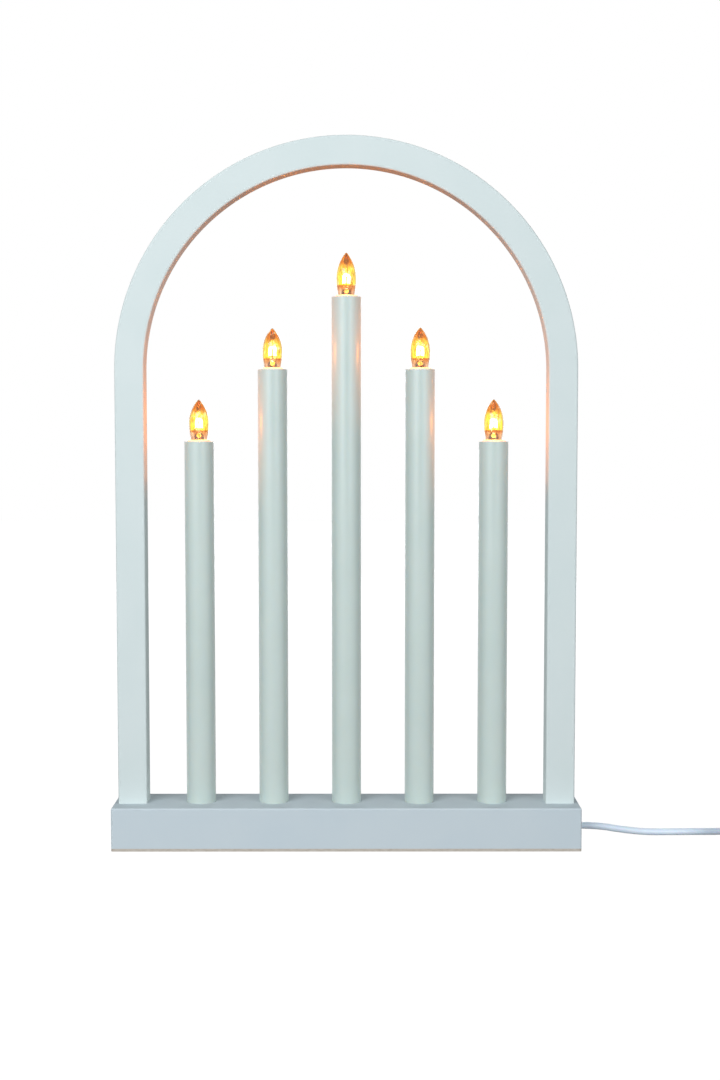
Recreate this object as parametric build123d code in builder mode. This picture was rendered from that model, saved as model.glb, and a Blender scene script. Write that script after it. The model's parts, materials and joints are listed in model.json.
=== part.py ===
from build123d import *
import math
import os

# An electric candle arch: a wooden base, a round wooden arch, five candle tubes with screw lamps,
# and the mains cord with its plug. Sizes are in millimetres. The origin is the middle of the
# underside, +X to the right, +Y to the back, +Z up.

os.makedirs("parts", exist_ok=True)

# How far every cut runs past the face that it opens
overrun = 1.0

# Wooden base and its bottom cover
base_depth = 48.0
base_margin = 3.3
block_height = 28.6
cover_thickness = 2.0
eased_edge = 1.2

# Arch, cut from one board, with its crown this far above the middle lamp's tip
crown_gap = 59.3
bar_width = 20.5
bar_depth = 18.0

# Candle tubes, with the heights of their lamp holders' rims above the base
candle_spacing = 51.8
outer_candle_height = 256.4
candle_step = 50.4
tube_radius = 10.35
tube_wall = 1.0
rim_easing = 0.5
seat_depth = 8.0
seat_clearance = 0.1
wire_hole_radius = 6.5

# Lamp holder in the top of each tube
flange_thickness = 1.2
collar_radius = 8.6
collar_height = 1.2
lamp_opening_radius = 6.1
holder_clearance = 0.12
holder_skirt = 6.6
holder_wall = 1.2
shell_ledge_depth = 4.0
socket_floor = 2.0

# Brass pieces of the lamp holder
shell_inner_radius = 5.0
shell_wall = 0.35
shell_floor_gap = 0.22
shell_rim_width = 0.5
shell_clearance = 0.1
shell_mouth_radius = 3.6
terminal_reach = 4.4
terminal_drop = 4.6
terminal_width = 3.0
leaf_thickness = 0.4
slot_clearance = 0.3

# Screw lamp
glass_height = 30.7
glass_radius = 7.0
glass_belly_height = 13.0
glass_flare_radius = 57.0
glass_tip_radius = 1.0
glass_wall = 0.7
flare_shares = [0, 0.5]
ogive_shares = [0, 0.36, 0.65, 0.87]
neck_depth = 9.6
cap_radius = 4.7
cap_wall = 0.35
cap_top_gap = 0.3
cap_length = 8.4
neck_clearance = 0.05
foot_clearance = 0.1
foot_lip = 0.8
foot_flange = 0.7
foot_stand_out = 0.6
foot_cone_height = 0.5
foot_cone_share = 0.6
tip_radius = 1.3
contact_gap = 0.2
leaf_rise = 1.0

# Glass stem and filament inside the lamp
stem_foot_radius = 2.6
stem_radius = 1.1
stem_waist_depth = 2.0
bead_radius = 1.6
bead_height = 4.3
lead_spacing = 1.8
lead_clearance = 0.25
lead_rise = 0.8
filament_foot_height = 9.0
filament_shoulder_height = 15.3
filament_top_height = 17.3
filament_foot_spread = 2.6
filament_shoulder_spread = 2.1
filament_radius = 0.25

# Wiring channel under the base
channel_width = 30.0
channel_depth = 12.0
channel_corner = 4.0
channel_left_margin = 8.0
channel_end_gap = 2.5
channel_screw_gap = 3.45
wire_radius = 1.0
wire_sides = 6
wire_bend = 5.0
feed_bend = 2.5

# Terminal block at the right of the last candle
terminal_block_offset = 10.4
terminal_block_length = 13.0
terminal_block_height = 9.5
terminal_block_border = 4.0
terminal_block_easing = 0.8
pole_spacing = 8.0
pole_middle_y = 6.0
sleeve_radius = 2.0
sleeve_bore_radius = 1.15
sleeve_inset = 0.5
sleeve_clearance = 0.1
well_radius = 1.5
wire_entry = 4.0

# Mains cord, its way out of the base and its clip
cord_radius = 2.5
cord_sides = 8
cord_exit_y = 10.5
cord_run_out = 15.0
bend_share = 0.45
cord_hole_clearance = 0.2
sheath_end_gap = 9.0
core_offset = 1.25
core_lead = 2.0
core_settle = 2.4
core_bend = 2.0
clip_wall = 1.15
clip_clearance = 0.05
clip_length = 5.0
clip_gap = 0.5
clip_tab_thickness = 1.2
clip_screw_offset = 8.0
clip_tab_end = 3.4

# Screws
arch_screw_radius = 2.0
arch_screw_head_radius = 4.0
arch_screw_length = 48.0
cover_screw_radius = 1.5
cover_screw_head_radius = 2.9
cover_screw_length = 14.0
cover_screw_inset = 4.6
cover_screw_corner_x = 6.5
clip_screw_radius = 1.5
clip_screw_head_radius = 2.7
clip_screw_head_height = 1.8
clip_screw_length = 10.0
screw_clearance = 0.05
screw_point_share = 0.8

# Plug at the cord's far end, lying flat
plug_width = 35.3
plug_height = 13.7
plug_face_corner = 5.0
plug_block_length = 11.0
plug_waist_width = 17.0
plug_waist_height = 11.6
plug_waist_corner = 4.6
plug_taper_length = 13.0
plug_neck_radius = 4.6
plug_neck_length = 12.0
plug_neck_end_radius = 3.6
plug_run_in = 7.8
neck_groove_count = 4
neck_groove_depth = 0.7
neck_groove_width = 1.3
pin_radius = 2.0
pin_sleeve_radius = 1.8
pin_length = 19.0
pin_sleeve_length = 10.0
pin_spacing = 18.6
pin_easing = 1.0

# Coil of the cord that is put away, and its tie
coil_centre_x = 308.0
coil_centre_y = -10.3
coil_outer_radius = 34.3
coil_gap = 0.6
coil_run_in = 14.0
coil_run_out = 14.0
coil_layer_count = 4
layer_quarter_count = 9
tie_thickness = 0.6
tie_clearance = 0.5
tie_width = 8.0
tie_corner = 2.6

# Places worked out from the sizes above
base_top = cover_thickness + block_height
channel_roof = cover_thickness + channel_depth
candle_shares = [-2, -1, 0, 1, 2]
candle_steps = [0, 1, 2, 1, 0]
candle_xs = [share * candle_spacing for share in candle_shares]
candle_rims = [base_top + outer_candle_height + step * candle_step for step in candle_steps]

# The channel holds the terminals, the cord's end and its clip beside the last candle, and the legs'
# screws stand clear of it: so the legs, the arch and the base are as wide as that asks
pole_ys = [pole_middle_y - pole_spacing / 2, pole_middle_y + pole_spacing / 2]
pole_z = cover_thickness + terminal_block_height / 2
terminal_block_left = candle_xs[-1] + terminal_block_offset
terminal_block_right = terminal_block_left + terminal_block_length
sheath_end = terminal_block_right + sheath_end_gap
clip_left = sheath_end + clip_gap
clip_middle = clip_left + clip_length / 2
channel_left = candle_xs[0] - terminal_reach - channel_left_margin
channel_right = clip_left + clip_length + channel_end_gap
leg_centre = channel_right + channel_screw_gap + arch_screw_head_radius
arch_half = leg_centre + bar_width / 2
arch_spring = max(candle_rims) + glass_height + crown_gap + bar_width - arch_half
base_width = 2 * (arch_half + base_margin)
cord_exit_x = base_width / 2
cord_exit_z = channel_roof - cord_radius - clip_clearance - clip_wall
clip_screw_y = cord_exit_y - clip_screw_offset
cover_screw_y = base_depth / 2 - cover_screw_inset
cover_screw_x = base_width / 2 - cover_screw_corner_x
cover_screw_places = [
    (x, y) for x in (-cover_screw_x, 0, cover_screw_x) for y in (-cover_screw_y, cover_screw_y)
]
arch_screw_places = [(-leg_centre, 0), (leg_centre, 0)]
cord_diameter = 2 * cord_radius


def save(piece, name):
    """Label a finished piece and write it as its own file."""
    piece.part.label = name
    export_step(piece.part, f"parts/{name}.step")


def facing_down(x, y, z):
    """The plane of a face that looks down, for holes drilled upwards."""
    return Plane(origin=(x, y, z), x_dir=(1, 0, 0), z_dir=(0, 0, -1))


def standing(x, y, z):
    """A standing plane through an upright axis: its x is the radius, its y the height."""
    return Plane(origin=(x, y, z), x_dir=(1, 0, 0), z_dir=(0, -1, 0))


def upright(plane):
    """The axis that a piece drawn on a standing plane is turned about."""
    return Axis(plane.origin, plane.y_dir)


def countersunk_outline(radius, head_radius, length):
    """Half outline of a countersunk screw, its head's face at zero and its point upwards."""
    head_height = head_radius - radius
    point_start = length - 2 * radius * screw_point_share
    return [(0, 0), (head_radius, 0), (radius, head_height), (radius, point_start), (0, length)]


def bend_radii(points):
    """Largest even bend at each corner of a route, from its shorter run and its turn."""
    radii = []
    for before, corner, after in zip(points, points[1:], points[2:]):
        run_in = Vector(*corner) - Vector(*before)
        run_out = Vector(*after) - Vector(*corner)
        half_turn = math.radians(run_in.get_angle(run_out)) / 2
        radii.append(bend_share * min(run_in.length, run_out.length) / math.tan(half_turn))
    return radii


def report_tube(name, piece, section_area, path_length):
    """Print how well a swept tube's volume agrees with its section times its length."""
    volume_share = piece.part.volume / (section_area * path_length)
    print(f"{name}: length {path_length:.1f}, volume share {volume_share:.4f}")


# Wooden base: tube seats from above, wiring channel and screw holes from below
with BuildPart() as base_block:
    with BuildSketch(Plane.XY.offset(cover_thickness)):
        Rectangle(base_width, base_depth)
    extrude(amount=block_height)
    upright_edges = base_block.edges().filter_by(Axis.Z)
    top_edges = base_block.faces().sort_by(Axis.Z)[-1].edges()
    fillet(upright_edges + top_edges, eased_edge)
    with BuildSketch(Plane.XY.offset(cover_thickness - overrun)):
        with Locations(((channel_left + channel_right) / 2, 0)):
            RectangleRounded(channel_right - channel_left, channel_width, channel_corner)
    extrude(amount=channel_depth + overrun, mode=Mode.SUBTRACT)
    with Locations(*[(x, 0, base_top) for x in candle_xs]):
        CounterBoreHole(wire_hole_radius, tube_radius + seat_clearance, seat_depth, block_height)
    with Locations(*[facing_down(x, y, cover_thickness) for x, y in arch_screw_places]):
        CounterSinkHole(
            arch_screw_radius + screw_clearance,
            arch_screw_head_radius + screw_clearance,
            block_height + overrun,
            counter_sink_angle=90,
        )
    with Locations(*[facing_down(x, y, cover_thickness) for x, y in cover_screw_places]):
        Hole(cover_screw_radius + screw_clearance, cover_screw_length)
    with Locations(facing_down(clip_middle, clip_screw_y, channel_roof)):
        Hole(clip_screw_radius + screw_clearance, clip_screw_length)
    with Locations(Plane(origin=(cord_exit_x, cord_exit_y, cord_exit_z), z_dir=(1, 0, 0))):
        Hole(cord_radius + cord_hole_clearance, cord_exit_x - channel_right + channel_corner)
save(base_block, "base_block")

# Bottom cover, which closes the wiring channel and carries the base
with BuildPart() as bottom_cover:
    with BuildSketch(Plane.XY):
        Rectangle(base_width, base_depth)
    extrude(amount=cover_thickness)
    fillet(bottom_cover.edges().filter_by(Axis.Z), eased_edge)
    with Locations(*[facing_down(x, y, 0) for x, y in cover_screw_places]):
        CounterSinkHole(
            cover_screw_radius + screw_clearance,
            cover_screw_head_radius + screw_clearance,
            cover_thickness + overrun,
            counter_sink_angle=90,
        )
save(bottom_cover, "bottom_cover")

with BuildPart() as cover_screws:
    for x, y in cover_screw_places:
        screw_plane = standing(x, y, 0)
        with BuildSketch(screw_plane):
            with BuildLine():
                Polyline(
                    *countersunk_outline(cover_screw_radius, cover_screw_head_radius, cover_screw_length),
                    close=True,
                )
            make_face()
        revolve(axis=upright(screw_plane))
save(cover_screws, "cover_screws")

# Arch: straight legs and a round crown, with eased long edges
with BuildPart() as arch_frame:
    with BuildSketch(Plane.XZ):
        with BuildLine():
            Line((-arch_half, base_top), (-arch_half, arch_spring))
            ThreePointArc((-arch_half, arch_spring), (0, arch_spring + arch_half), (arch_half, arch_spring))
            Line((arch_half, arch_spring), (arch_half, base_top))
            Line((arch_half, base_top), (arch_half - bar_width, base_top))
            Line((arch_half - bar_width, base_top), (arch_half - bar_width, arch_spring))
            ThreePointArc(
                (arch_half - bar_width, arch_spring),
                (0, arch_spring + arch_half - bar_width),
                (bar_width - arch_half, arch_spring),
            )
            Line((bar_width - arch_half, arch_spring), (bar_width - arch_half, base_top))
            Line((bar_width - arch_half, base_top), (-arch_half, base_top))
        make_face()
    extrude(amount=bar_depth / 2, both=True)
    front_and_back = arch_frame.faces().filter_by(Axis.Y)
    long_edges = front_and_back.edges().filter_by(lambda edge: edge.center().Z > base_top + eased_edge)
    fillet(long_edges, eased_edge)
    with Locations(*[facing_down(x, y, base_top) for x, y in arch_screw_places]):
        Hole(arch_screw_radius + screw_clearance, arch_screw_length - block_height + screw_clearance)
save(arch_frame, "arch_frame")

with BuildPart() as arch_screws:
    for x, y in arch_screw_places:
        screw_plane = standing(x, y, cover_thickness)
        with BuildSketch(screw_plane):
            with BuildLine():
                Polyline(
                    *countersunk_outline(arch_screw_radius, arch_screw_head_radius, arch_screw_length),
                    close=True,
                )
            make_face()
        revolve(axis=upright(screw_plane))
save(arch_screws, "arch_screws")

# Sizes of the lamp holder and the lamp that several pieces share, measured down from the rim
holder_radius = tube_radius - tube_wall - holder_clearance
pocket_radius = shell_inner_radius + shell_wall + shell_clearance
neck_radius = cap_radius - cap_wall - neck_clearance
neck_top = glass_belly_height - math.sqrt(
    glass_flare_radius**2 - (glass_flare_radius - glass_radius + neck_radius) ** 2
)
cap_top_depth = cap_top_gap - neck_top
cap_foot_depth = cap_top_depth + cap_length
shell_foot_depth = cap_foot_depth + shell_floor_gap + shell_wall
foot_radius = cap_radius - cap_wall - foot_lip
tip_depth = cap_foot_depth + foot_stand_out + foot_cone_height + tip_radius
leaf_depth = tip_depth + contact_gap
leaf_foot_depth = leaf_depth + leaf_thickness + leaf_rise
socket_depth = leaf_foot_depth + leaf_thickness / 2
holder_length = socket_depth + socket_floor + holder_skirt
terminal_depth = socket_depth + terminal_drop


# The glass's upper arc, which is upright at the belly and runs into the rounded tip
tip_middle_height = glass_height - glass_tip_radius
ogive_rise = tip_middle_height - glass_belly_height
ogive_reach = glass_radius - glass_tip_radius
ogive_radius = (glass_radius**2 - glass_tip_radius**2 + ogive_rise**2) / (2 * ogive_reach)


def on_glass(arc_radius, height, wall):
    """Point of the glass at a height, on an arc that is upright at the belly, a wall inside its face."""
    drop = height - glass_belly_height
    return glass_radius - arc_radius + math.sqrt((arc_radius - wall) ** 2 - drop**2), height


def glass_outline(wall, foot_height):
    """Half outline of the glass from the flare's foot to its top, a wall inside its face."""
    slope = math.atan2(ogive_rise, ogive_radius - glass_radius)
    leave_height = glass_belly_height + (ogive_radius - wall) * math.sin(slope)
    flare_rise = glass_belly_height - foot_height
    points = [on_glass(glass_flare_radius, foot_height + flare_rise * share, wall) for share in flare_shares]
    points += [
        on_glass(ogive_radius, glass_belly_height + (leave_height - glass_belly_height) * share, wall)
        for share in ogive_shares
    ]
    points.append(on_glass(ogive_radius, leave_height, wall))
    points.append((0, glass_height - wall))
    return points


# The candles, from left to right: each has its tube, lamp holder and screw lamp
for number, x, rim in zip(range(1, len(candle_xs) + 1), candle_xs, candle_rims):
    rim_plane = standing(x, 0, rim)
    turning = upright(rim_plane)
    tube_top = rim - flange_thickness
    tube_foot = base_top - seat_depth

    with BuildPart() as candle_tube:
        with BuildSketch(Plane.XY.offset(tube_foot)):
            with Locations((x, 0)):
                Circle(tube_radius)
                Circle(tube_radius - tube_wall, mode=Mode.SUBTRACT)
        extrude(amount=tube_top - tube_foot)
    save(candle_tube, f"candle_tube_{number}")

    # Flange on the tube's end, glowing collar, socket for the brass pieces, skirt for the wires
    with BuildPart() as lamp_holder:
        with BuildSketch(rim_plane):
            with BuildLine():
                Polyline(
                    (lamp_opening_radius, -shell_ledge_depth),
                    (lamp_opening_radius, collar_height),
                    (collar_radius, collar_height),
                    (collar_radius, 0),
                    (tube_radius, 0),
                    (tube_radius, -flange_thickness),
                    (holder_radius, -flange_thickness),
                    (holder_radius, -holder_length),
                    (holder_radius - holder_wall, -holder_length),
                    (holder_radius - holder_wall, -socket_depth - socket_floor),
                    (0, -socket_depth - socket_floor),
                    (0, -socket_depth),
                    (pocket_radius, -socket_depth),
                    (pocket_radius, -shell_ledge_depth),
                    close=True,
                )
            make_face()
        revolve(axis=turning)
        rings = lamp_holder.edges().filter_by(GeomType.CIRCLE)
        collar_edge = rings.group_by(Axis.Z)[-1].sort_by(SortBy.RADIUS)[-1]
        rim_edge = rings.group_by(SortBy.RADIUS)[-1].sort_by(Axis.Z)[-1]
        chamfer([collar_edge, rim_edge], rim_easing)
        with BuildSketch(Plane.XY.offset(rim - socket_depth + overrun)):
            with Locations((x - terminal_reach, 0), (x + terminal_reach, 0)):
                Rectangle(leaf_thickness + slot_clearance, terminal_width + slot_clearance)
        extrude(amount=-socket_floor - 2 * overrun, mode=Mode.SUBTRACT)
    save(lamp_holder, f"lamp_holder_{number}")

    # Brass screw shell, hung by its rim, with one terminal through the socket's floor
    with BuildPart() as screw_shell:
        with BuildSketch(rim_plane):
            with BuildLine():
                Polyline(
                    (shell_inner_radius, -shell_ledge_depth + leaf_thickness),
                    (shell_inner_radius + shell_wall + shell_rim_width, -shell_ledge_depth + leaf_thickness),
                    (shell_inner_radius + shell_wall + shell_rim_width, -shell_ledge_depth),
                    (shell_inner_radius + shell_wall, -shell_ledge_depth),
                    (shell_inner_radius + shell_wall, -shell_foot_depth),
                    (shell_mouth_radius, -shell_foot_depth),
                    (shell_mouth_radius, -shell_foot_depth + shell_wall),
                    (shell_inner_radius, -shell_foot_depth + shell_wall),
                    close=True,
                )
            make_face()
        revolve(axis=turning)
        with BuildSketch(Plane.XY.offset(rim - shell_foot_depth)):
            with Locations((x - terminal_reach, 0)):
                Rectangle(leaf_thickness, terminal_width)
        extrude(amount=shell_foot_depth - terminal_depth)
    save(screw_shell, f"screw_shell_{number}")

    # Sprung leaf under the lamp's tip, bent out to its own terminal
    with BuildPart() as centre_contact:
        with BuildSketch(rim_plane):
            with BuildLine():
                Polyline(
                    (-tip_radius, -leaf_depth - leaf_thickness / 2),
                    (tip_radius, -leaf_depth - leaf_thickness / 2),
                    (terminal_reach - tip_radius, -leaf_foot_depth),
                    (terminal_reach, -leaf_foot_depth),
                    (terminal_reach, -terminal_depth),
                )
            trace(line_width=leaf_thickness)
        extrude(amount=terminal_width / 2, both=True)
    save(centre_contact, f"centre_contact_{number}")

    # Brass cap of the lamp, crimped over its foot
    with BuildPart() as lamp_cap:
        with BuildSketch(rim_plane):
            with BuildLine():
                Polyline(
                    (cap_radius - cap_wall, -cap_top_depth),
                    (cap_radius, -cap_top_depth),
                    (cap_radius, -cap_foot_depth + cap_wall),
                    (cap_radius - cap_wall, -cap_foot_depth),
                    (foot_radius + foot_clearance, -cap_foot_depth),
                    (foot_radius + foot_clearance, -cap_foot_depth + cap_wall),
                    (cap_radius - cap_wall, -cap_foot_depth + cap_wall),
                    close=True,
                )
            make_face()
        revolve(axis=turning)
    save(lamp_cap, f"lamp_cap_{number}")

    # Insulating foot with the contact tip in its middle
    with BuildPart() as lamp_foot:
        flange_foot = -cap_foot_depth + cap_wall + foot_clearance
        with BuildSketch(rim_plane):
            with BuildLine():
                Polyline(
                    (0, flange_foot + foot_flange),
                    (cap_radius - cap_wall - foot_clearance, flange_foot + foot_flange),
                    (cap_radius - cap_wall - foot_clearance, flange_foot),
                    (foot_radius, flange_foot),
                    (foot_radius, -cap_foot_depth - foot_stand_out),
                    (foot_radius * foot_cone_share, tip_radius - tip_depth),
                    (tip_radius, tip_radius - tip_depth),
                    (tip_radius * math.sqrt(0.5), tip_radius * (1 - math.sqrt(0.5)) - tip_depth),
                    (0, -tip_depth),
                    close=True,
                )
            make_face()
        revolve(axis=turning)
    save(lamp_foot, f"lamp_foot_{number}")

    # Pointed glass with its neck and the stem that is fused into it
    with BuildPart() as lamp_glass:
        bore_top = glass_belly_height - math.sqrt(
            (glass_flare_radius - glass_wall) ** 2
            - (glass_flare_radius - glass_radius + neck_radius - glass_wall) ** 2
        )
        bead_join = bead_height - math.sqrt(bead_radius**2 - stem_radius**2)
        with BuildSketch(rim_plane):
            with BuildLine():
                Polyline(
                    (0, -neck_depth),
                    (neck_radius, -neck_depth),
                    *glass_outline(0, neck_top),
                    *reversed(glass_outline(glass_wall, bore_top)),
                    (neck_radius - glass_wall, glass_wall - neck_depth),
                    (stem_foot_radius, glass_wall - neck_depth),
                    (stem_radius, -stem_waist_depth),
                    (stem_radius, bead_join),
                    (bead_radius, bead_height),
                    (bead_radius * math.sqrt(0.5), bead_height + bead_radius * math.sqrt(0.5)),
                    (0, bead_height + bead_radius),
                    close=True,
                )
            make_face()
        revolve(axis=turning)
    save(lamp_glass, f"lamp_glass_{number}")

    # Filament between its two lead wires, one standing loop of wire
    with BuildPart() as filament:
        lead_foot = bead_height + bead_radius + lead_clearance
        rising = [
            (lead_spacing / 2, lead_foot),
            (lead_spacing / 2, lead_foot + lead_rise),
            (filament_foot_spread, filament_foot_height),
            (filament_shoulder_spread, filament_shoulder_height),
        ]
        loop_points = [(x - side, 0, rim + height) for side, height in rising]
        loop_points.append((x, 0, rim + filament_top_height))
        loop_points += [(x + side, 0, rim + height) for side, height in reversed(rising)]
        with BuildLine():
            Polyline(*loop_points)
        with BuildSketch(Plane(origin=loop_points[0], z_dir=(0, 0, 1))):
            RegularPolygon(filament_radius, 4)
        sweep(transition=Transition.RIGHT)
    save(filament, f"filament_{number}")

# Wires between the lamps, which are joined in series, and from the ends of the row to the terminals
with BuildPart() as link_wires:
    for left_x, left_rim, right_x, right_rim in zip(candle_xs, candle_rims, candle_xs[1:], candle_rims[1:]):
        start = (left_x + terminal_reach, 0, left_rim - terminal_depth)
        stop = (right_x - terminal_reach, 0, right_rim - terminal_depth)
        with BuildLine():
            FilletPolyline(start, (start[0], 0, pole_z), (stop[0], 0, pole_z), stop, radius=wire_bend)
        with BuildSketch(Plane(origin=start, z_dir=(0, 0, -1))):
            RegularPolygon(wire_radius, wire_sides)
        sweep()
save(link_wires, "link_wires")

with BuildPart() as feed_wires:
    near_start = (candle_xs[-1] + terminal_reach, 0, candle_rims[-1] - terminal_depth)
    far_start = (candle_xs[0] - terminal_reach, 0, candle_rims[0] - terminal_depth)
    feed_end = terminal_block_left + wire_entry
    near_points = [
        near_start,
        (near_start[0], 0, pole_z),
        (terminal_block_left - wire_radius, pole_ys[0], pole_z),
        (feed_end, pole_ys[0], pole_z),
    ]
    far_points = [
        far_start,
        (far_start[0], 0, pole_z),
        (far_start[0] + pole_ys[1], pole_ys[1], pole_z),
        (feed_end, pole_ys[1], pole_z),
    ]
    for points in (near_points, far_points):
        with BuildLine():
            FilletPolyline(*points, radius=feed_bend)
        with BuildSketch(Plane(origin=points[0], z_dir=(0, 0, -1))):
            RegularPolygon(wire_radius, wire_sides)
        sweep()
save(feed_wires, "feed_wires")

# Terminal block on the bottom cover, with a bore and two screw wells for each pole
with BuildPart() as terminal_block:
    with BuildSketch(Plane.XY.offset(cover_thickness)):
        with Locations(((terminal_block_left + terminal_block_right) / 2, pole_middle_y)):
            Rectangle(terminal_block_length, pole_spacing + 2 * terminal_block_border)
    extrude(amount=terminal_block_height)
    chamfer(terminal_block.edges().filter_by(Axis.X), terminal_block_easing)
    with Locations(*[Plane(origin=(terminal_block_right, y, pole_z), z_dir=(1, 0, 0)) for y in pole_ys]):
        Hole(sleeve_radius + sleeve_clearance, terminal_block_length)
    with Locations(*[
        (edge, y, cover_thickness + terminal_block_height)
        for edge in (terminal_block_left + wire_entry, terminal_block_right - wire_entry)
        for y in pole_ys
    ]):
        Hole(well_radius, terminal_block_height / 2)
save(terminal_block, "terminal_block")

with BuildPart() as terminal_sleeves:
    for y in pole_ys:
        with BuildSketch(Plane(origin=(terminal_block_left + sleeve_inset, y, pole_z), z_dir=(1, 0, 0))):
            Circle(sleeve_radius)
            Circle(sleeve_bore_radius, mode=Mode.SUBTRACT)
        extrude(amount=terminal_block_length - 2 * sleeve_inset)
save(terminal_sleeves, "terminal_sleeves")

# The cord's end inside the base: the sheath, and its two cores in the terminals
with BuildPart() as inner_cord:
    with BuildSketch(Plane(origin=(sheath_end, cord_exit_y, cord_exit_z), z_dir=(1, 0, 0))):
        Circle(cord_radius)
    extrude(amount=cord_exit_x - sheath_end)
    core_stop = terminal_block_right - wire_entry
    for core_y, pole_y in zip((cord_exit_y - core_offset, cord_exit_y + core_offset), pole_ys):
        core_points = [
            (sheath_end, core_y, cord_exit_z),
            (sheath_end - core_lead, core_y, cord_exit_z),
            (terminal_block_right + core_settle, pole_y, pole_z),
            (core_stop, pole_y, pole_z),
        ]
        with BuildLine():
            FilletPolyline(*core_points, radius=core_bend)
        with BuildSketch(Plane(origin=core_points[0], z_dir=(-1, 0, 0))):
            RegularPolygon(wire_radius, wire_sides)
        sweep()
save(inner_cord, "inner_cord")

# Clip that takes the cord's pull: a band round the cord, with a tab under the channel's roof
with BuildPart() as cord_clip:
    band_radius = cord_radius + clip_clearance + clip_wall
    tab_end = clip_screw_y - clip_tab_end
    with BuildSketch(Plane(origin=(clip_left, 0, 0), x_dir=(0, 1, 0), z_dir=(1, 0, 0))):
        with Locations((cord_exit_y, cord_exit_z)):
            Circle(band_radius)
        with Locations(((tab_end + cord_exit_y) / 2, channel_roof - clip_tab_thickness / 2)):
            Rectangle(cord_exit_y - tab_end, clip_tab_thickness)
        with Locations((cord_exit_y, cord_exit_z)):
            Circle(cord_radius + clip_clearance, mode=Mode.SUBTRACT)
    extrude(amount=clip_length)
    with Locations(facing_down(clip_middle, clip_screw_y, channel_roof - clip_tab_thickness)):
        Hole(clip_screw_radius + screw_clearance, clip_tab_thickness + overrun)
save(cord_clip, "cord_clip")

with BuildPart() as clip_screw:
    screw_plane = standing(clip_middle, clip_screw_y, channel_roof - clip_tab_thickness)
    point_start = clip_screw_length - 2 * clip_screw_radius * screw_point_share
    with BuildSketch(screw_plane):
        with BuildLine():
            Polyline(
                (0, -clip_screw_head_height),
                (clip_screw_radius, -clip_screw_head_height),
                (clip_screw_head_radius, -clip_screw_head_height / 2),
                (clip_screw_head_radius, 0),
                (clip_screw_radius, 0),
                (clip_screw_radius, point_start),
                (0, clip_screw_length),
                close=True,
            )
        make_face()
    revolve(axis=upright(screw_plane))
save(clip_screw, "clip_screw")

# Coil: quarter turns of a spiral that goes in and out again at a steady rate, a layer each way,
# and climbs a layer in the half turn where it reverses
turn_pitch = cord_diameter + coil_gap
coil_floor = tie_thickness + tie_clearance + cord_radius
coil_quarters = coil_layer_count * layer_quarter_count
reversals = [layer * layer_quarter_count for layer in range(1, coil_layer_count)]


def coil_station(quarter):
    """Place and direction of the coil's centre line at a whole quarter turn."""
    way = quarter % (2 * layer_quarter_count)
    inward = min(way, 2 * layer_quarter_count - way)
    radius = coil_outer_radius - turn_pitch * inward / 4
    height = coil_floor + turn_pitch * sum(
        0.5 if quarter == reversal else 1 for reversal in reversals if quarter >= reversal
    )
    angle = math.pi / 2 * (1 - quarter)
    drift = -turn_pitch / (2 * math.pi) if way < layer_quarter_count else turn_pitch / (2 * math.pi)
    climb = 0
    if quarter in reversals:
        drift = 0
        climb = turn_pitch / 2
    if quarter in (0, coil_quarters):
        drift = 0
    outwards = Vector(math.cos(angle), math.sin(angle), 0)
    onwards = Vector(math.sin(angle), -math.cos(angle), 0)
    place = Vector(coil_centre_x, coil_centre_y, height) + outwards * radius
    return place, (onwards * radius + outwards * drift + Vector(0, 0, climb)).normalized()


def biarc_middle(place, heading, next_place, next_heading):
    """Point where two arcs of equal reach meet, and their shared direction there."""
    gap = next_place - place
    along = gap.dot(heading + next_heading)
    spread = 2 * (1 - heading.dot(next_heading))
    reach = (math.sqrt(along**2 + spread * gap.dot(gap)) - along) / spread
    middle = (place + next_place + (heading - next_heading) * reach) * 0.5
    return middle, (next_place - next_heading * reach - place - heading * reach).normalized()


stations = [coil_station(quarter) for quarter in range(coil_quarters + 1)]
coil_entry = stations[0][0] - stations[0][1] * cord_diameter
coil_leave = stations[-1][0] + stations[-1][1] * cord_diameter
with BuildPart() as cord_coil:
    with BuildLine() as coil_path:
        Line(coil_entry, stations[0][0])
        for (place, heading), (next_place, next_heading) in zip(stations, stations[1:]):
            middle, shared = biarc_middle(place, heading, next_place, next_heading)
            TangentArc(place, middle, tangent=heading)
            TangentArc(middle, next_place, tangent=shared)
        Line(stations[-1][0], coil_leave)
    with BuildSketch(Plane(origin=coil_entry, z_dir=stations[0][1])) as coil_section:
        RegularPolygon(cord_radius, cord_sides, rotation=180 / cord_sides)
    sweep()
save(cord_coil, "cord_coil")

coil_wire = coil_path.wire()
step_count = round(coil_wire.length / cord_radius)
coil_points = [coil_wire.position_at(step / step_count) for step in range(step_count + 1)]
steps_apart = round(math.pi * coil_outer_radius / cord_radius / 2)
least_gap = min(
    (coil_points[first] - coil_points[second]).length
    for first in range(len(coil_points))
    for second in range(first + steps_apart, len(coil_points))
) - cord_diameter
report_tube("cord coil", cord_coil, coil_section.sketch.area, coil_wire.length)
print(f"cord coil: least gap to itself {least_gap:.2f}")

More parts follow.
